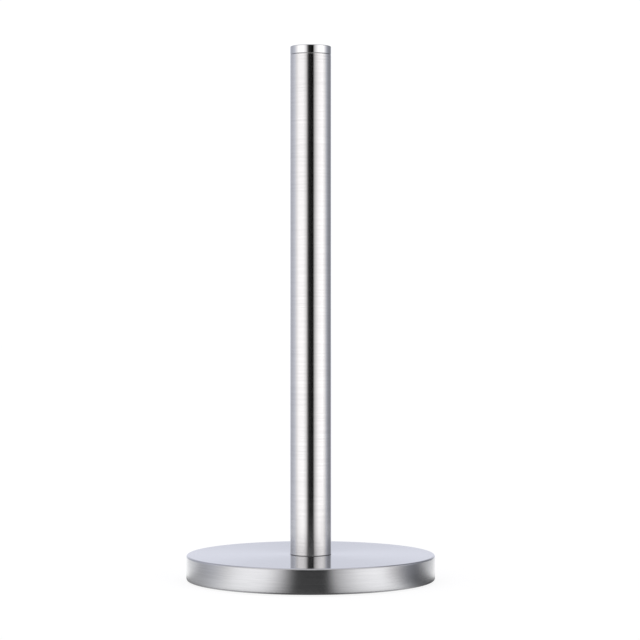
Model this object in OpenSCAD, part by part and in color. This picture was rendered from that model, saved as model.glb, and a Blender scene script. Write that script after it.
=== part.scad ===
// Paper towel holder: a brushed steel post that screws on a weighted round base.
// Millimetres. Z is up, the floor is z = 0 and the post's axis is the Z axis.

/* [Base] */
// Diameter of the base
base_d = 154; // [110:1:200]
// Height of the base's top face above the floor
base_h = 16; // [14:0.5:30]
// Thickness of the drawn steel shell
shell_t = 0.7; // [0.4:0.1:1]
// Outside radius of the shell's rolled top edge
top_edge_r = 1.2; // [1:0.1:3]
// Outside radius of the shell's bottom edge, where it is rolled under
bottom_edge_r = 1.2; // [0.8:0.1:2]
// How far the rolled lip reaches in under the weight
lip_reach = 5; // [3:0.5:8]
// Gap between the weight's rim and the shell's wall
weight_gap = 0.15; // [0.05:0.05:0.5]
// Depth of the shell's seat for the post, below the base's top face
seat_depth = 0.3; // [0.2:0.1:2]
// Gap between the tube and the rim of its seat
seat_play = 0.25; // [0.15:0.05:0.5]

/* [Pad] */
// Gap between the anti-slip ring and the shell's lip
pad_gap = 2; // [0.5:0.5:6]
// Width of the anti-slip ring
pad_w = 20; // [6:1:30]
// Thickness of the anti-slip ring
pad_t = 1.2; // [1:0.1:4]
// Flat of the weight between the anti-slip ring and the hollow
pad_land = 6.6; // [1:0.2:15]

/* [Post] */
// Height of the whole holder above the floor
total_h = 330.5; // [260:0.5:380]
// Outside diameter of the tube
post_d = 25.4; // [22:0.1:32]
// Wall thickness of the tube
tube_t = 0.8; // [0.6:0.1:1.5]
// Height of the polished cap
cap_h = 5.2; // [3:0.1:12]
// Wall thickness of the cap
cap_t = 1; // [0.8:0.1:1.5]
// Radius of the cap's top edge
cap_edge_r = 0.5; // [0.3:0.1:1.6]
// Bevel on the two edges of the seam between cap and tube
seam_c = 0.45; // [0.1:0.05:0.5]
// Bevel on the tube's foot, just above its seat
foot_c = 0.15; // [0.1:0.05:0.5]
// Length of the cap's plug inside the tube
cap_plug_h = 18; // [10:1:30]
// Thickness of the plastic ring under the tube
seat_washer_t = 0.5; // [0.4:0.1:1]
// Length of the threaded plug inside the tube
plug_h = 20; // [16:1:30]

/* [Stud] */
// Nominal diameter of the screw thread
thread_d = 8; // [6:1:10]
// Pitch of the screw thread
pitch = 1.25; // [1:0.25:1.5]
// Height of the stud's end above the shell's seat, for the post's thread
stud_h = 15.8; // [14:0.2:30]
// Height of the jam nut
nut_h = 4; // [3:0.5:6.5]
// Width across flats of the bolt's head and the nut
hex_af = 13; // [12:1:17]
// Radial clearance of the inside threads around the bolt's
thread_play = 0.1; // [0.05:0.01:0.15]

/* [Hidden] */
$fn = 96;
// overlap of a cutter past the face that it cuts
over = 1;
// depth of thread below the crest, and half the crest's width, for this pitch
thread_depth = 0.61 * pitch;
crest_half = pitch / 16;
flank = tan(30);
thread_steps = 24;

// the base, from the floor up
shell_r = base_d / 2;
shell_in_r = shell_r - shell_t;
shell_z0 = pad_t - shell_t;
weight_z0 = pad_t;
weight_z1 = base_h - shell_t;
weight_r = shell_in_r - weight_gap;
weight_c = 1.4;
pad_r = shell_r - lip_reach - pad_gap;
pad_in_r = pad_r - pad_w;
hollow_r = pad_in_r - pad_land - weight_c;
seat_z = base_h - seat_depth;
web_z1 = seat_z - shell_t;
seat_r = post_d / 2 + seat_play;
seat_out_r = seat_r + shell_t;
bolt_hole_r = thread_d / 2 + 0.4;

// the bolt's stack under the web
head_h = 5.3;
spring_washer_t = 2.1;
flat_washer_t = 1.6;
washer_in_r = thread_d / 2 + 0.2;
head_z0 = weight_z0;
under_head_z = head_z0 + head_h;
flat_washer_z = under_head_z + spring_washer_t;
web_z0 = flat_washer_z + flat_washer_t;
bolt_top = seat_z + stud_h;
tip_h = 0.8;

// the post, from its seat up
nut_z0 = seat_z;
nut_z1 = nut_z0 + nut_h;
post_z0 = seat_z + seat_washer_t;
post_z1 = total_h - cap_h;
tube_r = post_d / 2;
tube_in_r = tube_r - tube_t;
nut_room_r = hex_af / 2 / cos(30) + 0.7;
nut_room_z = nut_z1 + 0.8;
plug_z1 = post_z0 + plug_h;

// the screw thread's ridge starts this high, a whole number of pitches below each cutter's start
thread_z0 = web_z1 - 0.2;
thread_tail = 0.6 * pitch;
thread_turns = floor((bolt_top - tip_h - thread_z0 - thread_tail) / pitch);
plug_skip = floor((nut_room_z - thread_z0) / pitch) - 1;
plug_turns = ceil((plug_z1 - thread_z0) / pitch) - plug_skip + 1;
nut_turns = ceil((nut_z1 - thread_z0) / pitch) + 1;

// Which piece to draw

antislip_pad();
base_shell();
counterweight();
post_bolt();
flat_washer();
spring_washer();
jam_nut();
seat_washer();
post_tube();
threaded_plug();
top_cap();
cap_plug();

// a quarter circle as points, centre [x, z], from angle a0 to angle a1
function arc(x, z, r, a0, a1, n = 8) =
    [for (i = [0 : n]) let (a = a0 + (a1 - a0) * i / n) [x + r * cos(a), z + r * sin(a)]];

// a flat ring between two radii
module ring(r_in, r_out, z0, z1) {
    translate([0, 0, z0]) {
        difference() {
            cylinder(r = r_out, h = z1 - z0);
            translate([0, 0, -over]) cylinder(r = r_in, h = z1 - z0 + 2 * over);
        }
    }
}

// one corner of a screw thread's section: z offset from the ridge's middle, and radius
function ridge(q, r_root, r_crest, grow) =
    let (low = crest_half + (thread_d / 2 - r_root) * flank + grow)
    let (high = crest_half + (thread_d / 2 - r_crest) * flank + grow)
    q == 0 ? [-low, r_root] : q == 1 ? [-high, r_crest] : q == 2 ? [high, r_crest] : [low, r_root];

// A right-hand screw thread as one closed body, from z0 to z1: a root cylinder with its ridge.
module screw_thread(z0, z1, start, turns, r_root, r_crest, grow) {
    n = thread_steps;
    last = turns * n;
    columns = last + 1;
    grid = [for (t = [0 : last]) for (q = [0 : 3])
        let (s = ridge(q, r_root, r_crest, grow))
        let (a = 360 * (t % n) / n)
        [s[1] * cos(a), s[1] * sin(a), start + pitch * t / n + s[0]]];
    low_ring = [for (i = [0 : n - 1]) [r_root * cos(360 * i / n), r_root * sin(360 * i / n), z0]];
    high_ring = [for (i = [0 : n - 1]) [r_root * cos(360 * i / n), r_root * sin(360 * i / n), z1]];
    b0 = columns * 4;
    c0 = b0 + n;
    sides = [for (t = [0 : last - 1]) for (q = [0 : 2])
        for (f = [[4 * t + q, 4 * t + 4 + q, 4 * t + 5 + q], [4 * t + q, 4 * t + 5 + q, 4 * t + 1 + q]])
        f];
    roots = [for (t = [0 : last - n - 1])
        let (u = t + n)
        for (f = [[4 * t + 3, 4 * t + 7, 4 * u + 4], [4 * t + 3, 4 * u + 4, 4 * u]])
        f];
    foot = [for (t = [0 : n - 2])
        for (f = [[b0 + t, b0 + t + 1, 4 * t + 4], [b0 + t, 4 * t + 4, 4 * t]])
        f];
    foot_end = [[b0 + n - 1, b0, 0], [b0 + n - 1, 0, 3], [b0 + n - 1, 3, 4 * n],
        [b0 + n - 1, 4 * n, 4 * n - 4]];
    k = last - n;
    head_start = [[4 * k + 7, c0 + 1, c0], [4 * k + 7, c0, 4 * last + 3],
        [4 * k + 7, 4 * last + 3, 4 * last], [4 * k + 7, 4 * last, 4 * k + 3]];
    head = [for (i = [1 : n - 1])
        let (t = k + i)
        for (f = [[4 * t + 3, 4 * t + 7, c0 + (i + 1) % n], [4 * t + 3, c0 + (i + 1) % n, c0 + i]])
        f];
    ends = [[0, 1, 2], [0, 2, 3], [4 * last + 2, 4 * last + 1, 4 * last],
        [4 * last + 3, 4 * last + 2, 4 * last]];
    caps = [for (i = [1 : n - 2]) for (f = [[b0, b0 + i + 1, b0 + i], [c0, c0 + i, c0 + i + 1]]) f];
    all_faces = concat(sides, roots, foot, foot_end, head_start, head, ends, caps);
    polyhedron(
        points = concat(grid, low_ring, high_ring),
        faces = [for (f = all_faces) [f[0], f[2], f[1]]]);
}

// the cutter for a tapped hole that the bolt's thread runs in with play all round
module tapped_hole(start, turns) {
    screw_thread(start - pitch, start + (turns + 1) * pitch, start, turns,
        thread_d / 2 - thread_depth + thread_play, thread_d / 2 + thread_play, 0.8 * thread_play);
}

// Rubber ring under the weight, the part that meets the worktop.
module antislip_pad() {
    color("#2b2b2c") ring(pad_in_r, pad_r, 0, pad_t);
}

// Drawn stainless skin: flat top with a seat for the post, side wall, and the lip rolled under.
module base_shell() {
    inner_top_r = top_edge_r - shell_t;
    inner_bottom_r = bottom_edge_r - shell_t;
    color("#c9cbcd") rotate_extrude()
        polygon(concat(
            [[bolt_hole_r, seat_z], [seat_r, seat_z], [seat_r, base_h]],
            arc(shell_r - top_edge_r, base_h - top_edge_r, top_edge_r, 90, 0),
            arc(shell_r - bottom_edge_r, shell_z0 + bottom_edge_r, bottom_edge_r, 0, -90),
            [[shell_r - lip_reach, shell_z0], [shell_r - lip_reach, weight_z0]],
            arc(shell_r - bottom_edge_r, shell_z0 + bottom_edge_r, inner_bottom_r, -90, 0),
            arc(shell_r - top_edge_r, base_h - top_edge_r, inner_top_r, 0, 90),
            [[seat_out_r, weight_z1], [seat_out_r, web_z1], [bolt_hole_r, web_z1]]));
}

// Cast iron disc inside the shell, hollow under the middle for the bolt's stack.
module counterweight() {
    seat_pocket_r = seat_out_r + 0.3;
    color("#3a3b3d") rotate_extrude()
        polygon([
            [bolt_hole_r, web_z0], [hollow_r, web_z0], [hollow_r + weight_c, weight_z0],
            [weight_r - weight_c, weight_z0], [weight_r, weight_z0 + weight_c],
            [weight_r, weight_z1 - weight_c], [weight_r - weight_c, weight_z1],
            [seat_pocket_r, weight_z1], [seat_pocket_r, web_z1], [bolt_hole_r, web_z1]]);
}

// a hexagon prism whose corners are rounded off at one end by a cone, as on a nut or a bolt's head
module hexagon(z0, z1, bevel_low, bevel_high) {
    corner_r = hex_af / 2 / cos(30);
    bevel = corner_r - hex_af / 2;
    drop = bevel * flank;
    intersection() {
        translate([0, 0, z0]) cylinder(r = corner_r, h = z1 - z0, $fn = 6);
        rotate_extrude()
            polygon([
                [0, z0], [corner_r - (bevel_low ? bevel : 0), z0],
                [corner_r + 0.1, z0 + (bevel_low ? drop : 0)],
                [corner_r + 0.1, z1 - (bevel_high ? drop : 0)],
                [corner_r - (bevel_high ? bevel : 0), z1], [0, z1]]);
    }
}

// M8 hex bolt, head down. Its threaded end stands out of the base and carries the post.
module post_bolt() {
    root_r = thread_d / 2 - thread_depth - 0.04;
    color("#b9bcbf") {
        hexagon(head_z0, under_head_z, true, false);
        translate([0, 0, under_head_z])
            cylinder(r = thread_d / 2 - 0.05, h = thread_z0 - pitch - under_head_z);
        screw_thread(thread_z0 - pitch, bolt_top - tip_h, thread_z0, thread_turns, root_r,
            thread_d / 2 - 0.05, 0);
        translate([0, 0, bolt_top - tip_h]) cylinder(r1 = root_r - 0.1, r2 = root_r - 0.6, h = tip_h);
    }
}

// Flat washer between the lock washer and the weight's web.
module flat_washer() {
    color("#b4b7ba") ring(washer_in_r, thread_d, flat_washer_z, web_z0);
}

// Split lock washer, flattened by the bolt's head, with its slanted cut.
module spring_washer() {
    spring_washer_r = thread_d / 2 + 3.3;
    cut_w = 0.8;
    cut_slant = 25;
    color("#a9acaf") difference() {
        ring(washer_in_r, spring_washer_r, under_head_z, flat_washer_z);
        translate([(washer_in_r + spring_washer_r) / 2, 0, (under_head_z + flat_washer_z) / 2])
            rotate([cut_slant, 0, 0])
                cube([2 * (spring_washer_r - washer_in_r), cut_w, 4 * spring_washer_t], center = true);
    }
}

// Thin nut that clamps shell and weight on the bolt.
module jam_nut() {
    color("#b9bcbf") difference() {
        hexagon(nut_z0, nut_z1, true, true);
        tapped_hole(thread_z0, nut_turns);
    }
}

// Plastic ring in the seat, between the tube's end and the shell.
module seat_washer() {
    color("#1c1c1e") ring(nut_room_r + 1, tube_r - 0.2, seat_z, post_z0);
}

// The brushed stainless tube.
module post_tube() {
    color("#c4c6c8") rotate_extrude()
        polygon([
            [tube_in_r, post_z0], [tube_r - foot_c, post_z0], [tube_r, post_z0 + foot_c],
            [tube_r, post_z1 - seam_c], [tube_r - seam_c, post_z1], [tube_in_r, post_z1]]);
}

// Metal plug pressed into the tube's lower end: room for the nut, then the thread.
module threaded_plug() {
    color("#9da0a3") difference() {
        translate([0, 0, post_z0]) cylinder(r = tube_in_r, h = plug_h);
        translate([0, 0, post_z0 - over]) cylinder(r = nut_room_r, h = nut_room_z - post_z0 + over);
        tapped_hole(thread_z0 + plug_skip * pitch, plug_turns);
    }
}

// Polished cap, as wide as the tube.
module top_cap() {
    boss_r = tube_r - cap_t;
    color("#e2e4e6") rotate_extrude()
        polygon(concat(
            [[boss_r, post_z1], [tube_r - seam_c, post_z1], [tube_r, post_z1 + seam_c]],
            arc(tube_r - cap_edge_r, total_h - cap_edge_r, cap_edge_r, 0, 90),
            [[0, total_h], [0, total_h - cap_t], [boss_r, total_h - cap_t]]));
}

// Ribbed plastic plug: pressed into the tube, with a boss that fills the cap.
module cap_plug() {
    core_r = tube_in_r - 0.6;
    wall = 1.6;
    rib_w = 1.6;
    ribs = 8;
    color("#d9d8d2") difference() {
        union() {
            translate([0, 0, post_z1 - cap_plug_h]) cylinder(r = core_r, h = cap_plug_h);
            translate([0, 0, post_z1]) cylinder(r = tube_r - cap_t, h = cap_h - cap_t);
            intersection() {
                translate([0, 0, post_z1 - cap_plug_h + over])
                    cylinder(r = tube_in_r, h = cap_plug_h - over);
                union() {
                    for (i = [0 : ribs - 1]) rotate([0, 0, 360 * i / ribs])
                        translate([core_r - over, -rib_w / 2, post_z1 - cap_plug_h + over])
                            cube([over + 2, rib_w, cap_plug_h - over]);
                }
            }
        }
        translate([0, 0, post_z1 - cap_plug_h - over]) cylinder(r = core_r - wall, h = cap_plug_h + over);
    }
}
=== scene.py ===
"""Brushed steel paper towel holder: its looks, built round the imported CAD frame.

Lengths in the outlines are millimetres, as in the CAD source, and become metres in the meshes.
Every round piece is turned from an outline in the r-z plane, so its rolled edges are real shapes.
"""

import math

import bpy
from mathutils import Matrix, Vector


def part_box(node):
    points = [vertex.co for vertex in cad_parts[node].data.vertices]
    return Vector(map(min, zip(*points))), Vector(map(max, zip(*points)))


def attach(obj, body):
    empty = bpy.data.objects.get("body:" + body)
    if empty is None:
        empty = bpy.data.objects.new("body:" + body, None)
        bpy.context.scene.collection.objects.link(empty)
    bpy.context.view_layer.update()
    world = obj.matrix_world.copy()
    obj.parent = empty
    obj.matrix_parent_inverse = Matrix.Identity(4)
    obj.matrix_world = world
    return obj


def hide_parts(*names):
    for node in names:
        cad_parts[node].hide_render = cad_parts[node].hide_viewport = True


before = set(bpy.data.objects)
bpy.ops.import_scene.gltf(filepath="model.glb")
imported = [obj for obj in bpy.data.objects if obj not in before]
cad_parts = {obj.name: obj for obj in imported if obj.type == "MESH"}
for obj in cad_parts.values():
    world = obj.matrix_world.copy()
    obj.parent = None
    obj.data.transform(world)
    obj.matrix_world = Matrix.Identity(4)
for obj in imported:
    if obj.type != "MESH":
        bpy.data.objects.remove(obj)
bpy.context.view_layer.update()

MM = 0.001
TINY = 1e-6
SHARP_DEGREES = 38
ROWS_PER_PITCH = 16
THREAD_SIDES = 72


# ---------------------------------------------------------------- sizes, read from the frame


def span(node):
    """Outer radius, lowest z and highest z of a round CAD node, in millimetres."""
    low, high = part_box(node)
    return high[0] / MM, low[2] / MM, high[2] / MM


BASE_R, BASE_Z0, BASE_Z1 = span("base_shell")
WEIGHT_R, WEIGHT_Z0, WEIGHT_Z1 = span("counterweight")
PAD_R, PAD_Z0, PAD_Z1 = span("antislip_pad")
TUBE_R, TUBE_Z0, TUBE_Z1 = span("post_tube")
CAP_R, CAP_Z0, CAP_Z1 = span("top_cap")
RING_R, RING_Z0, RING_Z1 = span("seat_washer")
_, NUT_Z0, NUT_Z1 = span("jam_nut")
WASHER_R, WASHER_Z0, WASHER_Z1 = span("flat_washer")
SPRING_R, SPRING_Z0, SPRING_Z1 = span("spring_washer")
_, HEAD_Z0, BOLT_TOP = span("post_bolt")
PLUG_R, PLUG_Z0, PLUG_Z1 = span("threaded_plug")

# the base
SHELL_T = BASE_Z1 - WEIGHT_Z1
SEAT_PLAY = 0.25
SEAT_Z = RING_Z0
SEAT_R = TUBE_R + SEAT_PLAY
SEAT_ROLL = 0.1
WEB_TOP = SEAT_Z - SHELL_T
TOP_ROLL = 1.2
BOTTOM_ROLL = 1.2
LIP_REACH = 5.0
WEIGHT_FILLET = 1.4
HOLLOW_R = 42.0
POCKET_GAP = 0.3
PAD_WIDTH = 20.0
PAD_EDGE = 0.3
RING_WIDTH = 3.1
RING_EDGE = 0.12

# the stud, its washers and the thread
BOLT_HOLE_R = 4.4
THREAD_R = 4.0
PITCH = 1.25
THREAD_Z0 = WEB_TOP - 0.2
THREAD_DEPTH = 0.61 * PITCH
THREAD_PLAY = 0.1
BORE_LOW = THREAD_R - THREAD_DEPTH + THREAD_PLAY
BORE_HIGH = THREAD_R + THREAD_PLAY
HEX_AF = 13.0
HEX_CHAMFER = 0.15
WASHER_IN_R = THREAD_R + 0.2
WASHER_EDGE = 0.2
TIP_H = 0.8

# the post
NUT_ROOM_R = HEX_AF / 2 / math.cos(math.radians(30)) + 0.7
NUT_ROOM_Z = NUT_Z1 + 0.8
TUBE_IN_R = PLUG_R
PLUG_EDGE = 0.4
CAP_T = 1.0
CAP_BOSS_R = CAP_R - CAP_T
CAP_ROLL = 0.5
SEAM = 0.45
FOOT_ROLL = 0.15


# ---------------------------------------------------------------- turned meshes


class Outline:
    """A section in the r-z plane, drawn with the solid on its left.

    Each step keeps the outward normal at its two ends, so that flats stay flat and rolls shade round.
    """

    def __init__(self, r, z):
        self.at = (r, z)
        self.steps = []

    def _step(self, end, normal_a, normal_b):
        self.steps.append((self.at, normal_a, end, normal_b))
        self.at = end

    def to(self, r, z):
        """A straight stretch."""
        r0, z0 = self.at
        length = math.hypot(r - r0, z - z0)
        normal = ((z - z0) / length, (r0 - r) / length)
        self._step((r, z), normal, normal)
        return self

    def turn(self, radius, start, end, parts=8):
        """An arc whose radius swings from the angle start to the angle end, in degrees."""
        r0, z0 = self.at
        a = math.radians(start)
        centre_r, centre_z = r0 - radius * math.cos(a), z0 - radius * math.sin(a)
        side = 1 if end > start else -1
        for i in range(1, parts + 1):
            b = math.radians(start + (end - start) * i / parts)
            point = (centre_r + radius * math.cos(b), centre_z + radius * math.sin(b))
            normal_a = (side * math.cos(a), side * math.sin(a))
            self._step(point, normal_a, (side * math.cos(b), side * math.sin(b)))
            a = b
        return self


def add_uvs(mesh, uvs):
    layer = mesh.uv_layers.new(name="UVMap")
    layer.data.foreach_set("uv", [x for uv in uvs for x in uv])


def show(name, mesh):
    obj = bpy.data.objects.new(name, mesh)
    bpy.context.scene.collection.objects.link(obj)
    return obj


def lathe(name, outline, around):
    """Turns an outline about the Z axis into a closed mesh with true normals and a UV map."""
    steps = outline.steps
    points = [s[0] for s in steps]
    closed = math.dist(steps[-1][2], steps[0][0]) < TINY
    if not closed:
        points.append(steps[-1][2])
    verts, first, count = [], [], []
    for r, z in points:
        n = 1 if r < TINY else around
        first.append(len(verts))
        count.append(n)
        for j in range(n):
            a = 2 * math.pi * j / around
            verts.append((r * math.cos(a) * MM, r * math.sin(a) * MM, z * MM))
    total = sum(math.dist(s[0], s[2]) for s in steps)
    faces, normals, uvs, run = [], [], [], 0.0
    for k, (p, na, q, nb) in enumerate(steps):
        length = math.dist(p, q)
        m = (k + 1) % len(points)
        for j in range(around):
            corners = [(k, j, na, run), (k, j + 1, na, run),
                       (m, j + 1, nb, run + length), (m, j, nb, run + length)]
            if count[k] == 1:
                corners.pop(1)
            elif count[m] == 1:
                corners.pop(2)
            faces.append([first[i] + (t % count[i]) for i, t, _, _ in corners])
            for _, t, n, v in corners:
                a = 2 * math.pi * t / around
                normals.append((n[0] * math.cos(a), n[0] * math.sin(a), n[1]))
                uvs.append((t / around, v / total))
        run += length
    mesh = bpy.data.meshes.new(name)
    mesh.from_pydata(verts, [], faces)
    add_uvs(mesh, uvs)
    mesh.shade_smooth()
    mesh.normals_split_custom_set(normals)
    return show(name, mesh)


def loft(name, section, steps, sweep=360.0, lean=0.0):
    """Sweeps a section that may change with the angle about the Z axis, into a closed mesh.

    section(angle) lists (r, z) points with the solid on their left. It is a loop, unless it starts and
    ends on the axis. lean turns the higher points further round, in degrees for each millimetre.
    """
    whole = sweep == 360.0
    angles = [sweep * j / steps for j in range(steps if whole else steps + 1)]
    columns = [section(a) for a in angles]
    size = len(columns[0])
    looped = columns[0][0][0] > 0
    verts, index = [], []
    for j, (angle, points) in enumerate(zip(angles, columns)):
        index.append([])
        for k, (r, z) in enumerate(points):
            if r == 0 and j > 0:
                index[j].append(index[0][k])
                continue
            a = math.radians(angle + lean * z)
            index[j].append(len(verts))
            verts.append((r * math.cos(a) * MM, r * math.sin(a) * MM, z * MM))
    faces, uvs = [], []
    for j in range(steps):
        here, there = index[j], index[(j + 1) % len(index)]
        for k in range(size if looped else size - 1):
            m = (k + 1) % size
            corners = [(here[k], j, k), (there[k], j + 1, k),
                       (there[m], j + 1, k + 1), (here[m], j, k + 1)]
            corners = [c for i, c in enumerate(corners) if c[0] != corners[i - 1][0]]
            faces.append([c[0] for c in corners])
            uvs += [(c[1] / steps, c[2] / size) for c in corners]
    if not whole:
        faces += [index[0], index[-1][::-1]]
        uvs += [(0.5, 0.5)] * (2 * size)
    mesh = bpy.data.meshes.new(name)
    mesh.from_pydata(verts, [], faces)
    add_uvs(mesh, uvs)
    mesh.shade_smooth()
    mesh.set_sharp_from_angle(angle=math.radians(SHARP_DEGREES))
    return show(name, mesh)


def screw(angle, z0, z1, low, high):
    """Points up a screw thread's flank, from z0 to z1, whose radius swings between low and high."""
    rows = round((z1 - z0) / PITCH * ROWS_PER_PITCH)
    points = []
    for i in range(rows + 1):
        z = z0 + (z1 - z0) * i / rows
        wave = math.cos(2 * math.pi * (z - THREAD_Z0) / PITCH - math.radians(angle))
        points.append(((low + high) / 2 + (high - low) / 2 * wave, z))
    return points


def hexagon(angle, z0, z1, bevel_low, bevel_high):
    """Points up the side of a hexagon whose corners a cone has taken off at one or both ends."""
    flat_r = HEX_AF / 2 - HEX_CHAMFER
    side_r = HEX_AF / 2 / math.cos(math.radians(angle % 60 - 30))
    drop = (side_r - flat_r) * math.tan(math.radians(30))
    low = [(flat_r, z0), (side_r, z0 + drop)] if bevel_low else [(side_r, z0)]
    high = [(side_r, z1 - drop), (flat_r, z1)] if bevel_high else [(side_r, z1)]
    return low + high


def ring_outline(r_in, r_out, z0, z1, edge):
    """A flat ring whose four edges are rounded a little."""
    o = Outline(r_in + edge, z0).to(r_out - edge, z0).turn(edge, -90, 0, 4).to(r_out, z1 - edge)
    o.turn(edge, 0, 90, 4).to(r_in + edge, z1).turn(edge, 90, 180, 4).to(r_in, z0 + edge)
    return o.turn(edge, 180, 270, 4)


# ---------------------------------------------------------------- materials


# how strongly the brushing stretches a highlight, and how far wear changes the steel's roughness
BRUSHING = 0.95
WEAR = 0.02


def blank_material(name):
    """A material with an empty node tree."""
    material = bpy.data.materials.new(name)
    material.use_nodes = True
    material.node_tree.nodes.clear()
    return material


def put(tree, socket, value):
    """Sets a socket to a number or colour, or links it to another node's socket."""
    if isinstance(value, bpy.types.NodeSocket):
        tree.links.new(value, socket)
    else:
        socket.default_value = value


def calculate(tree, operation, a, b=0.0):
    """A math node."""
    node = tree.nodes.new("ShaderNodeMath")
    node.operation = operation
    put(tree, node.inputs[0], a)
    put(tree, node.inputs[1], b)
    return node.outputs[0]


class Paint:
    """A Principled material and a short way to add nodes to it."""

    def __init__(self, name, **sockets):
        self.material = blank_material(name)
        self.tree = self.material.node_tree
        output = self.add("ShaderNodeOutputMaterial")
        self.shader = self.add("ShaderNodeBsdfPrincipled")
        self.tree.links.new(self.shader.outputs["BSDF"], output.inputs["Surface"])
        for socket, value in sockets.items():
            self.shader.inputs[socket.replace("_", " ")].default_value = value
        self.place = self.add("ShaderNodeTexCoord").outputs["Object"]
        split = self.add("ShaderNodeSeparateXYZ", Vector=self.place)
        self.x, self.y, self.z = split.outputs

    def add(self, kind, **inputs):
        node = self.tree.nodes.new(kind)
        for name, value in inputs.items():
            self.put(node.inputs[name.replace("_", " ")], value)
        return node

    def put(self, socket, value):
        put(self.tree, socket, value)

    def math(self, operation, a, b=0.0):
        return calculate(self.tree, operation, a, b)

    def mix(self, a, share, b):
        """The share of a plus the rest of b."""
        return self.math("ADD", self.math("MULTIPLY", a, share), self.math("MULTIPLY", b, 1 - share))

    def point(self, x, y, z):
        return self.add("ShaderNodeCombineXYZ", X=x, Y=y, Z=z).outputs[0]

    def noise(self, where, scale, detail=2.0, roughness=0.5):
        node = self.add("ShaderNodeTexNoise", Vector=where, Scale=scale, Detail=detail,
                        Roughness=roughness)
        return node.outputs["Fac"]

    def spread(self, value, low, high, out_low, out_high):
        """Maps low..high to out_low..out_high and stops at both ends."""
        node = self.add("ShaderNodeMapRange", Value=value)
        for socket, number in zip(list(node.inputs)[1:5], (low, high, out_low, out_high)):
            self.put(socket, number)
        return node.outputs[0]

    def blend(self, factor, colour_a, colour_b):
        node = self.tree.nodes.new("ShaderNodeMix")
        node.data_type = "RGBA"
        self.put(node.inputs["Factor"], factor)
        for socket, colour in ((node.inputs[6], colour_a), (node.inputs[7], colour_b)):
            self.put(socket, (*colour, 1.0) if isinstance(colour, tuple) else colour)
        return node.outputs[2]

    def bump(self, height, distance):
        """The normal for a relief this many metres high."""
        node = self.add("ShaderNodeBump", Height=height, Strength=1.0, Distance=distance)
        return node.outputs["Normal"]

    def finish(self, colour, rough, normal):
        for name, value in (("Base Color", colour), ("Roughness", rough), ("Normal", normal)):
            self.put(self.shader.inputs[name], value)
        return self.material


def brushed_steel(name, light, dark, rough, grain, fine_above=None):
    """Stainless steel brushed in circles round the Z axis, on walls and on flat faces alike.

    grain is the relief of the scratches, in millimetres. Above the height fine_above, in millimetres,
    the finish is smoother.
    """
    p = Paint(name, Metallic=1.0, Anisotropic=BRUSHING, Anisotropic_Rotation=0.25)
    tangent = p.add("ShaderNodeTangent")
    tangent.direction_type = "RADIAL"
    tangent.axis = "Z"
    p.put(p.shader.inputs["Tangent"], tangent.outputs[0])
    radius = p.math("SQRT", p.math("ADD", p.math("MULTIPLY", p.x, p.x), p.math("MULTIPLY", p.y, p.y)))
    across = p.math("ADD", radius, p.z)

    def scratches(along, per_metre, detail):
        where = p.point(p.math("MULTIPLY", p.x, along), p.math("MULTIPLY", p.y, along),
                        p.math("MULTIPLY", across, per_metre))
        return p.noise(where, 1.0, detail, 0.6)

    hair = scratches(60.0, 5200.0, 2.0)
    line = scratches(35.0, 1500.0, 3.0)
    band = scratches(14.0, 260.0, 2.0)
    cloud = p.noise(p.place, 22.0)
    tone = p.mix(hair, 0.35, line)
    colour = p.blend(p.spread(tone, 0.36, 0.64, 0.0, 1.0), dark, light)
    wear = p.mix(line, 0.6, cloud)
    roughness = p.spread(p.mix(wear, 0.7, band), 0.35, 0.65, rough - WEAR, rough + WEAR)
    if fine_above is not None:
        calm = p.spread(p.z, (fine_above - 0.6) * MM, (fine_above - 0.1) * MM, 1.0, 0.6)
        roughness = p.math("MULTIPLY", roughness, calm)
    height = p.math("ADD", p.math("MULTIPLY", hair, 0.5), line)
    return p.finish(colour, roughness, p.bump(height, grain * MM))


def polished_steel():
    """The cap: bright, with faint wiping marks."""
    p = Paint("polished_cap", Metallic=1.0)
    smear = p.noise(p.place, 260.0, 4.0, 0.6)
    film = p.noise(p.place, 40.0)
    colour = p.blend(p.spread(film, 0.35, 0.65, 0.0, 1.0), (0.575, 0.58, 0.585), (0.63, 0.635, 0.64))
    rough = p.spread(smear, 0.35, 0.7, 0.03, 0.07)
    return p.finish(colour, rough, p.bump(smear, 0.002 * MM))


def cast_iron():
    """The weight: a dark sand-cast skin, a little stained."""
    p = Paint("cast_weight", Metallic=0.0, Coat_Weight=0.15, Coat_Roughness=0.4)
    sand = p.noise(p.place, 900.0, 4.0, 0.65)
    lumps = p.noise(p.place, 120.0, 3.0)
    stain = p.noise(p.place, 35.0, 3.0, 0.6)
    colour = p.blend(p.spread(stain, 0.4, 0.7, 0.0, 1.0), (0.022, 0.022, 0.024), (0.06, 0.052, 0.045))
    rough = p.spread(sand, 0.3, 0.7, 0.5, 0.8)
    height = p.math("ADD", p.math("MULTIPLY", sand, 0.4), lumps)
    return p.finish(colour, rough, p.bump(height, 0.5 * MM))


def rubber():
    """The anti-slip ring: fine cells and a little dust."""
    p = Paint("pad_rubber", Roughness=0.85)
    cells = p.noise(p.place, 1500.0, 3.0, 0.7)
    dust = p.noise(p.place, 90.0, 4.0, 0.6)
    colour = p.blend(p.spread(dust, 0.45, 0.75, 0.0, 1.0), (0.014, 0.014, 0.015), (0.05, 0.049, 0.047))
    return p.finish(colour, p.spread(cells, 0.3, 0.7, 0.75, 0.95), p.bump(cells, 0.12 * MM))


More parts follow.
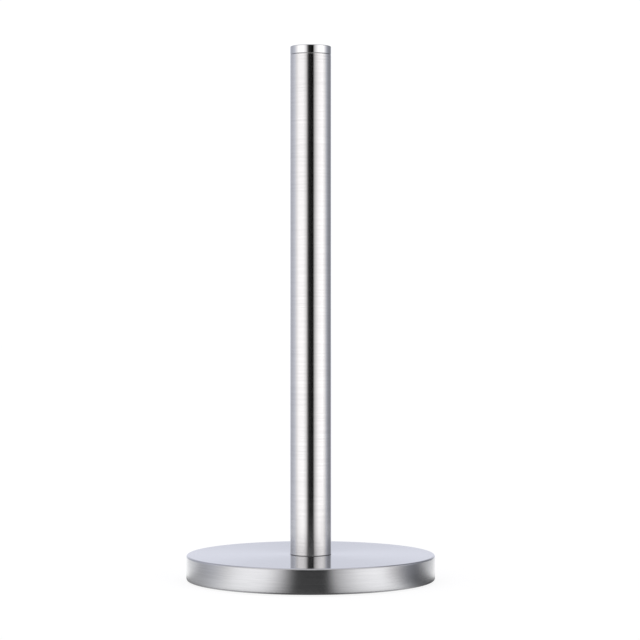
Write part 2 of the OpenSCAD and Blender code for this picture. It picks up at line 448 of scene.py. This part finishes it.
def zinc():
    """Bright zinc plate: a pale blue-grey metal with soft spangles."""
    p = Paint("zinc_steel", Metallic=1.0)
    spangle = p.noise(p.place, 700.0, 3.0, 0.6)
    stain = p.noise(p.place, 160.0, 3.0)
    colour = p.blend(p.spread(stain, 0.35, 0.7, 0.0, 1.0), (0.6, 0.62, 0.65), (0.46, 0.47, 0.46))
    return p.finish(colour, p.spread(spangle, 0.3, 0.7, 0.24, 0.42), p.bump(spangle, 0.02 * MM))


def turned_metal():
    """The threaded plug: alloy as it leaves the lathe, with feed marks."""
    p = Paint("plug_metal", Metallic=1.0)
    feed = p.add("ShaderNodeTexWave", Scale=1.0, Distortion=0.4, Detail=2.0,
                 Vector=p.point(0.0, 0.0, p.math("MULTIPLY", p.z, 2600.0)))
    feed.bands_direction = "Z"
    grime = p.noise(p.place, 200.0, 4.0, 0.6)
    colour = p.blend(p.spread(grime, 0.4, 0.7, 0.0, 1.0), (0.5, 0.51, 0.53), (0.33, 0.33, 0.33))
    rough = p.spread(grime, 0.3, 0.7, 0.28, 0.45)
    return p.finish(colour, rough, p.bump(feed.outputs["Fac"], 0.01 * MM))


def nylon(name, light, dark):
    """Moulded plastic: fine spark-eroded skin and slightly uneven colour."""
    p = Paint(name, Subsurface_Weight=0.05, Subsurface_Scale=0.002)
    skin = p.noise(p.place, 2600.0, 2.0, 0.6)
    flow = p.noise(p.place, 110.0, 3.0)
    colour = p.blend(p.spread(flow, 0.35, 0.7, 0.0, 1.0), light, dark)
    return p.finish(colour, p.spread(skin, 0.3, 0.7, 0.38, 0.58), p.bump(skin, 0.02 * MM))


MATERIALS = {
    "brushed_disc": brushed_steel("brushed_disc", (0.528, 0.532, 0.546), (0.48, 0.484, 0.498),
                                  rough=0.21, grain=0.0009, fine_above=BASE_Z1),
    "brushed_tube": brushed_steel("brushed_tube", (0.67, 0.67, 0.67), (0.59, 0.59, 0.592),
                                  rough=0.18, grain=0.001),
    "polished_cap": polished_steel(),
    "cast_weight": cast_iron(),
    "pad_rubber": rubber(),
    "zinc_steel": zinc(),
    "plug_metal": turned_metal(),
    # the seat ring's dark grey is partly the plastic's own colour and partly painted shade: its edge
    # round the tube's foot stands in for the shade line there
    "washer_plastic": nylon("washer_plastic", (0.12, 0.12, 0.123), (0.16, 0.16, 0.163)),
    "plug_plastic": nylon("plug_plastic", (0.72, 0.7, 0.65), (0.6, 0.58, 0.53)),
}


def dress(obj, slot, body=None, replaces=None):
    """Gives a piece its material, and says what it stands for and what it rides on."""
    obj.data.materials.clear()
    obj.data.materials.append(MATERIALS[slot])
    if replaces:
        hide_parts(replaces)
        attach(obj, body)


# ---------------------------------------------------------------- the pieces


def base_shell():
    """Drawn skin of the base, from the rolled-under lip round to the seat and back inside."""
    lip_r = BASE_R - LIP_REACH
    o = Outline(lip_r, BASE_Z0).to(BASE_R - BOTTOM_ROLL, BASE_Z0)
    o.turn(BOTTOM_ROLL, -90, 0, 10).to(BASE_R, BASE_Z1 - TOP_ROLL).turn(TOP_ROLL, 0, 90, 14)
    o.to(SEAT_R + SEAT_ROLL, BASE_Z1).turn(SEAT_ROLL, 90, 180, 5).to(SEAT_R, SEAT_Z + SEAT_ROLL)
    o.turn(SEAT_ROLL, 0, -90, 5).to(BOLT_HOLE_R, SEAT_Z).to(BOLT_HOLE_R, WEB_TOP)
    o.to(SEAT_R + SHELL_T, WEB_TOP).to(SEAT_R + SHELL_T, WEIGHT_Z1).to(BASE_R - TOP_ROLL, WEIGHT_Z1)
    o.turn(TOP_ROLL - SHELL_T, 90, 0, 8).to(BASE_R - SHELL_T, BASE_Z0 + BOTTOM_ROLL)
    o.turn(BOTTOM_ROLL - SHELL_T, 0, -90, 6).to(lip_r, WEIGHT_Z0).to(lip_r, BASE_Z0)
    dress(lathe("shell_skin", o, around=320), "brushed_disc", "base", "base_shell")


def post_tube():
    """The tube, with a small roll at its foot and a larger one at the seam under the cap."""
    o = Outline(TUBE_IN_R, TUBE_Z0).to(TUBE_R - FOOT_ROLL, TUBE_Z0).turn(FOOT_ROLL, -90, 0, 5)
    o.to(TUBE_R, TUBE_Z1 - SEAM).turn(SEAM, 0, 90, 5).to(TUBE_IN_R, TUBE_Z1).to(TUBE_IN_R, TUBE_Z0)
    dress(lathe("tube_skin", o, around=224), "brushed_tube", "post", "post_tube")


def top_cap():
    """A cup upside down, rolled at the seam and at its top edge."""
    o = Outline(0, CAP_Z1 - CAP_T).to(CAP_BOSS_R, CAP_Z1 - CAP_T).to(CAP_BOSS_R, CAP_Z0)
    o.to(CAP_R - SEAM, CAP_Z0).turn(SEAM, -90, 0, 5)
    o.to(CAP_R, CAP_Z1 - CAP_ROLL).turn(CAP_ROLL, 0, 90, 8).to(0, CAP_Z1)
    dress(lathe("cap_skin", o, around=224), "polished_cap", "post", "top_cap")


def counterweight():
    """Cast disc with rounded corners and a hollow for the bolt."""
    pocket_r = SEAT_R + SHELL_T + POCKET_GAP
    o = Outline(BOLT_HOLE_R, WASHER_Z1).to(HOLLOW_R, WASHER_Z1)
    o.to(HOLLOW_R + WEIGHT_FILLET, WEIGHT_Z0).to(WEIGHT_R - WEIGHT_FILLET, WEIGHT_Z0)
    o.turn(WEIGHT_FILLET, -90, 0, 6).to(WEIGHT_R, WEIGHT_Z1 - WEIGHT_FILLET)
    o.turn(WEIGHT_FILLET, 0, 90, 6).to(pocket_r, WEIGHT_Z1)
    o.to(pocket_r, WEB_TOP).to(BOLT_HOLE_R, WEB_TOP).to(BOLT_HOLE_R, WASHER_Z1)
    dress(lathe("cast_disc", o, around=192), "cast_weight", "base", "counterweight")


def small_rings():
    """The anti-slip ring, the ring in the post's seat and the flat washer. The seat ring's dark grey is
    partly its own colour and partly painted shade for the line round the tube's foot.
    """
    pad = ring_outline(PAD_R - PAD_WIDTH, PAD_R, PAD_Z0, PAD_Z1, PAD_EDGE)
    dress(lathe("pad_ring", pad, around=192), "pad_rubber", "base", "antislip_pad")
    seat = ring_outline(RING_R - RING_WIDTH, RING_R, RING_Z0, RING_Z1, RING_EDGE)
    dress(lathe("seat_ring", seat, around=128), "washer_plastic", "seat_ring", "seat_washer")
    flat = ring_outline(WASHER_IN_R, WASHER_R, WASHER_Z0, WASHER_Z1, WASHER_EDGE)
    dress(lathe("washer_disc", flat, around=96), "zinc_steel", "base", "flat_washer")


def post_bolt():
    """Hex bolt, head down: bevelled head with a washer face, plain shank, rolled thread, coned tip."""
    head_z1 = SPRING_Z0
    face_r, face_h = HEX_AF / 2 - 0.2, 0.3
    root, crest = THREAD_R - THREAD_DEPTH - 0.04, THREAD_R - 0.05
    tip_z0, tip_r = BOLT_TOP - TIP_H, root - 0.6

    def section(angle):
        head = [(0, HEAD_Z0)] + hexagon(angle, HEAD_Z0, head_z1 - face_h, True, False)
        shank = [(face_r, head_z1 - face_h), (face_r, head_z1), (crest, head_z1),
                 (crest, THREAD_Z0 - PITCH), (root, THREAD_Z0 - 0.8 * PITCH)]
        thread = screw(angle, THREAD_Z0 - 0.6 * PITCH, tip_z0 - 0.6 * PITCH, root, crest)
        return head + shank + thread + [(root, tip_z0), (tip_r, BOLT_TOP), (0, BOLT_TOP)]

    dress(loft("hex_bolt", section, THREAD_SIDES), "zinc_steel", "base", "post_bolt")


def jam_nut():
    """Thin hexagon nut: both faces bevelled, its thread countersunk."""
    sink, mouth_r = 0.5, BORE_HIGH + 0.1

    def section(angle):
        bore = screw(angle, NUT_Z0 + sink, NUT_Z1 - sink, BORE_LOW, BORE_HIGH)[::-1]
        side = hexagon(angle, NUT_Z0, NUT_Z1, True, True)
        return side + [(mouth_r, NUT_Z1)] + bore + [(mouth_r, NUT_Z0)]

    dress(loft("thin_nut", section, THREAD_SIDES), "zinc_steel", "base", "jam_nut")


def spring_washer():
    """Split ring with a slanted cut."""
    edge, gap_degrees, slant = 0.15, 8.0, 4.0

    def section(angle):
        return [(WASHER_IN_R + edge, SPRING_Z0), (SPRING_R - edge, SPRING_Z0),
                (SPRING_R, SPRING_Z0 + edge), (SPRING_R, SPRING_Z1 - edge),
                (SPRING_R - edge, SPRING_Z1), (WASHER_IN_R + edge, SPRING_Z1),
                (WASHER_IN_R, SPRING_Z1 - edge), (WASHER_IN_R, SPRING_Z0 + edge)]

    ring = loft("split_ring", section, 90, sweep=360 - gap_degrees, lean=slant)
    dress(ring, "zinc_steel", "base", "spring_washer")


def threaded_plug():
    """Turned plug in the tube's foot: bevelled edges, room for the nut, then the thread."""
    sink, mouth_r = 0.6, BORE_HIGH + 0.2

    def section(angle):
        outside = [(NUT_ROOM_R + PLUG_EDGE, PLUG_Z0), (PLUG_R - PLUG_EDGE, PLUG_Z0),
                   (PLUG_R, PLUG_Z0 + PLUG_EDGE), (PLUG_R, PLUG_Z1 - PLUG_EDGE),
                   (PLUG_R - PLUG_EDGE, PLUG_Z1), (mouth_r, PLUG_Z1)]
        bore = screw(angle, NUT_ROOM_Z + sink, PLUG_Z1 - sink, BORE_LOW, BORE_HIGH)[::-1]
        room = [(mouth_r, NUT_ROOM_Z), (NUT_ROOM_R, NUT_ROOM_Z), (NUT_ROOM_R, PLUG_Z0 + PLUG_EDGE)]
        return outside + bore + room

    dress(loft("turned_plug", section, THREAD_SIDES), "plug_metal", "post", "threaded_plug")


def cap_plug():
    """The CAD node has the right shape as it stands."""
    dress(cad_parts["cap_plug"], "plug_plastic")


# ---------------------------------------------------------------- studio


# How bright the studio's walls are, by the compass angle from straight in front, -Y: left is
# negative. The angle is fixed in the scene, and doesn't follow the camera.
STUDIO = ((-180, 0.92), (-165, 0.92), (-148, 0.62), (-125, 0.68), (-104, 0.87), (-87, 1.14),
          (-72, 1.55), (-60, 1.62), (-42, 1.6), (-34, 1.35), (-26, 1.05), (-16, 0.22),
          (-10, 0.03), (14, 0.0), (18, 0.4), (22, 0.74), (32, 1.15), (44, 1.55),
          (56, 1.66), (70, 1.72), (84, 1.3), (98, 0.78), (112, 0.46), (131, 0.32),
          (148, 0.38), (165, 0.88), (180, 0.92))

# How bright the worktop close round the base is in the base's wall, by the same compass angle.
WORKTOP = ((-180, 1.15), (-103, 1.15), (-99, 0.85), (-90, 0.52), (-70, 0.75), (-62, 1.0),
           (-52, 1.45), (-43, 1.65), (-31, 1.55), (-25, 1.3), (-20, 0.82), (-15, 0.36),
           (-9, 0.075), (7, 0.075), (11, 0.2), (16, 0.68), (22, 0.95), (33, 1.45),
           (45, 1.65), (51, 1.45), (57, 0.8), (64, 0.3), (72, 0.12), (82, 0.1),
           (92, 0.35), (100, 1.1), (180, 1.1))

# How the studio's walls fade from the floor, 0, past the horizon, 0.5, to overhead, 1.
FRONT_FADE = ((0.0, 0.4), (0.15, 0.5), (0.3, 0.85), (0.5, 1.01), (0.55, 1.14), (0.562, 1.16),
              (0.574, 0.68), (0.9, 0.62))
BACK_FADE = ((0.0, 0.4), (0.15, 0.5), (0.35, 0.8), (0.5, 1.0), (0.75, 1.0), (0.9, 0.9))
CEILING = ((0.0, 0.0), (0.88, 0.0), (0.95, 1.0))

# The walls' colours in front and behind, and the level of the plain white that the camera sees.
FRONT_TINT = (1.02, 0.995, 1.0, 1.0)
BACK_TINT = (0.95, 0.97, 1.08, 1.0)
BACKDROP_LEVEL = 1.05

# The worktop's glow, in metres. In the base's shade it has this share of its level, plus a little.
GLOW_R = 0.2
GLOW_LIFT = 0.0001
SHADE_FROM = (BASE_R + 2) * MM
SHADE_TO = (BASE_R + 14) * MM
SHADE_SHARE = 0.35
SHADE_LEVEL = 0.1

# The card high in front, in metres.
CARD_Y = -6.5
CARD_HALF_WIDTH = 1.75
CARD_Z0 = 1.5
CARD_Z1 = 6.0
CARD_LEVEL = 0.45

# The floor, in metres, with how much light it reflects and how much it adds.
FLOOR_R = 8.0
FLOOR_GREY = 0.22
FLOOR_GLOW = 0.84

# The camera, in metres, with its turns in degrees.
EYE = (0, -1.3815, 0.171)
EYE_YAW = 0.239
EYE_PITCH = -0.409
LENS = 125.4
SENSOR = 36


def ramp(tree, value, stops):
    """A colour ramp used as a curve: pairs of place and level."""
    node = tree.nodes.new("ShaderNodeValToRGB")
    tree.links.new(value, node.inputs[0])
    elements = node.color_ramp.elements
    while len(elements) < len(stops):
        elements.new(0.5)
    # all places first: moving a stop sorts the row again
    for element, (place, _) in zip(elements, stops):
        element.position = place
    for element, (_, level) in zip(elements, stops):
        element.color = (level, level, level, 1.0)
    return node.outputs[0]


def by_compass(tree, where, table):
    """Looks a table up by the compass angle of a place or a direction."""
    split = tree.nodes.new("ShaderNodeSeparateXYZ")
    tree.links.new(where, split.inputs[0])
    to_front = calculate(tree, "MULTIPLY", split.outputs[1], -1.0)
    angle = calculate(tree, "ARCTAN2", split.outputs[0], to_front)
    turn = calculate(tree, "DIVIDE", calculate(tree, "ADD", angle, math.pi), 2 * math.pi)
    return ramp(tree, turn, [((a + 180) / 360, level) for a, level in table])


def studio_world():
    """White to the camera; to the object, two big soft sources at the sides with dark between them."""
    world = bpy.data.worlds.new("studio")
    bpy.context.scene.world = world
    world.use_nodes = True
    tree = world.node_tree
    tree.nodes.clear()

    def sums(operation, a, b=0.0):
        return calculate(tree, operation, a, b)

    where = tree.nodes.new("ShaderNodeTexCoord").outputs["Generated"]
    split = tree.nodes.new("ShaderNodeSeparateXYZ")
    tree.links.new(where, split.inputs[0])
    sides = by_compass(tree, where, STUDIO)
    up = sums("MULTIPLY", sums("ADD", split.outputs[2], 1.0), 0.5)
    front = ramp(tree, up, FRONT_FADE)
    behind = ramp(tree, up, BACK_FADE)
    clamp = tree.nodes.new("ShaderNodeClamp")
    tree.links.new(sums("MULTIPLY", sums("ADD", split.outputs[1], 0.1), 3.0), clamp.inputs[0])
    fade = sums("ADD", sums("MULTIPLY", front, sums("SUBTRACT", 1.0, clamp.outputs[0])),
                sums("MULTIPLY", behind, clamp.outputs[0]))
    # straight overhead the compass means nothing, so a ceiling panel takes over
    ceiling = ramp(tree, up, CEILING)
    walls = sums("MULTIPLY", sides, fade)
    level = sums("ADD", sums("MULTIPLY", walls, sums("SUBTRACT", 1.0, ceiling)), ceiling)
    shining = tree.nodes.new("ShaderNodeBackground")
    tree.links.new(level, shining.inputs["Strength"])
    white = tree.nodes.new("ShaderNodeBackground")
    white.inputs["Color"].default_value = (1.0, 1.0, 1.0, 1.0)
    white.inputs["Strength"].default_value = BACKDROP_LEVEL
    # a touch warm in front, cool behind
    tint = tree.nodes.new("ShaderNodeMix")
    tint.data_type = "RGBA"
    tree.links.new(clamp.outputs[0], tint.inputs["Factor"])
    tint.inputs[6].default_value = FRONT_TINT
    tint.inputs[7].default_value = BACK_TINT
    tree.links.new(tint.outputs[2], shining.inputs["Color"])
    mix = tree.nodes.new("ShaderNodeMixShader")
    tree.links.new(tree.nodes.new("ShaderNodeLightPath").outputs["Is Camera Ray"], mix.inputs[0])
    tree.links.new(shining.outputs[0], mix.inputs[1])
    tree.links.new(white.outputs[0], mix.inputs[2])
    tree.links.new(mix.outputs[0], tree.nodes.new("ShaderNodeOutputWorld").inputs["Surface"])


def only_mirrored(obj):
    """Leaves a stage object to be seen in reflections alone."""
    obj.visible_camera = False
    obj.visible_diffuse = False
    obj.visible_shadow = False
    obj.visible_transmission = False


def mirrored_worktop():
    """A glow round the base that only mirrors see.

    It is dark in front, white to either side of that, and dark again at the far right.
    """
    bpy.ops.mesh.primitive_circle_add(vertices=96, radius=GLOW_R, fill_type="NGON",
                                      location=(0, 0, GLOW_LIFT))
    glow = bpy.context.object
    glow.name = "worktop_glow"
    material = blank_material("worktop_glow")
    tree = material.node_tree
    light = tree.nodes.new("ShaderNodeEmission")
    place = tree.nodes.new("ShaderNodeTexCoord").outputs["Object"]
    far = by_compass(tree, place, WORKTOP)
    from_axis = tree.nodes.new("ShaderNodeVectorMath")
    from_axis.operation = "LENGTH"
    tree.links.new(place, from_axis.inputs[0])
    # right at the base's foot the worktop is in its shade
    shade = tree.nodes.new("ShaderNodeMapRange")
    tree.links.new(from_axis.outputs["Value"], shade.inputs["Value"])
    shade.inputs["From Min"].default_value = SHADE_FROM
    shade.inputs["From Max"].default_value = SHADE_TO
    shaded = calculate(tree, "ADD", calculate(tree, "MULTIPLY", far, SHADE_SHARE), SHADE_LEVEL)
    near = calculate(tree, "MULTIPLY", calculate(tree, "SUBTRACT", 1.0, shade.outputs[0]), shaded)
    level = calculate(tree, "ADD", near, calculate(tree, "MULTIPLY", far, shade.outputs[0]))
    tree.links.new(level, light.inputs["Strength"])
    output = tree.nodes.new("ShaderNodeOutputMaterial")
    tree.links.new(light.outputs[0], output.inputs["Surface"])
    glow.data.materials.append(material)
    only_mirrored(glow)


def fill_card(unlit):
    """A far card high in front, so that tops seen from behind mirror a soft grey and not the dark gap.

    The pieces in unlit get no light from it.
    """
    mesh = bpy.data.meshes.new("fill_card")
    corners = [(-CARD_HALF_WIDTH, CARD_Y, CARD_Z0), (CARD_HALF_WIDTH, CARD_Y, CARD_Z0),
               (CARD_HALF_WIDTH, CARD_Y, CARD_Z1), (-CARD_HALF_WIDTH, CARD_Y, CARD_Z1)]
    mesh.from_pydata(corners, [], [(0, 1, 2, 3)])
    card = show("fill_card", mesh)
    material = blank_material("fill_card")
    tree = material.node_tree
    light = tree.nodes.new("ShaderNodeEmission")
    light.inputs["Strength"].default_value = CARD_LEVEL
    output = tree.nodes.new("ShaderNodeOutputMaterial")
    tree.links.new(light.outputs[0], output.inputs["Surface"])
    mesh.materials.append(material)
    receivers = bpy.data.collections.new("fill_card_receivers")
    card.light_linking.receiver_collection = receivers
    for piece in unlit:
        receivers.objects.link(bpy.data.objects[piece])
    for entry in receivers.collection_objects:
        entry.light_linking.link_state = "EXCLUDE"
    only_mirrored(card)


def pale_floor():
    """A white worktop. It shows no underside, so the base can also be looked at from below."""
    bpy.ops.mesh.primitive_circle_add(vertices=96, radius=FLOOR_R, fill_type="NGON", location=(0, 0, 0))
    floor = bpy.context.object
    floor.name = "floor"
    material = blank_material("floor_white")
    tree = material.node_tree
    diffuse = tree.nodes.new("ShaderNodeBsdfDiffuse")
    diffuse.inputs["Color"].default_value = (FLOOR_GREY, FLOOR_GREY, FLOOR_GREY, 1.0)
    glow = tree.nodes.new("ShaderNodeEmission")
    glow.inputs["Strength"].default_value = FLOOR_GLOW
    both = tree.nodes.new("ShaderNodeAddShader")
    clear = tree.nodes.new("ShaderNodeBsdfTransparent")
    side = tree.nodes.new("ShaderNodeNewGeometry")
    mix = tree.nodes.new("ShaderNodeMixShader")
    output = tree.nodes.new("ShaderNodeOutputMaterial")
    tree.links.new(diffuse.outputs[0], both.inputs[0])
    tree.links.new(glow.outputs[0], both.inputs[1])
    tree.links.new(side.outputs["Backfacing"], mix.inputs[0])
    tree.links.new(both.outputs[0], mix.inputs[1])
    tree.links.new(clear.outputs[0], mix.inputs[2])
    tree.links.new(mix.outputs[0], output.inputs["Surface"])
    floor.data.materials.append(material)
    floor.visible_glossy = False


def camera():
    """Level with the middle of the post, and turned a touch so that the post stands left of centre."""
    data = bpy.data.cameras.new("camera")
    data.lens = LENS
    data.sensor_width = SENSOR
    data.clip_start = 0.05
    data.clip_end = 100
    eye = bpy.data.objects.new("camera", data)
    bpy.context.scene.collection.objects.link(eye)
    eye.location = EYE
    yaw, pitch = math.radians(EYE_YAW), math.radians(EYE_PITCH)
    look = Vector((math.sin(yaw) * math.cos(pitch), math.cos(yaw) * math.cos(pitch), math.sin(pitch)))
    eye.rotation_euler = look.to_track_quat("-Z", "Y").to_euler()
    bpy.context.scene.camera = eye


bpy.context.scene.view_settings.view_transform = "Standard"
camera()
studio_world()
pale_floor()
mirrored_worktop()
base_shell()
post_tube()
top_cap()
counterweight()
small_rings()
post_bolt()
jam_nut()
spring_washer()
threaded_plug()
cap_plug()
fill_card(["tube_skin"])
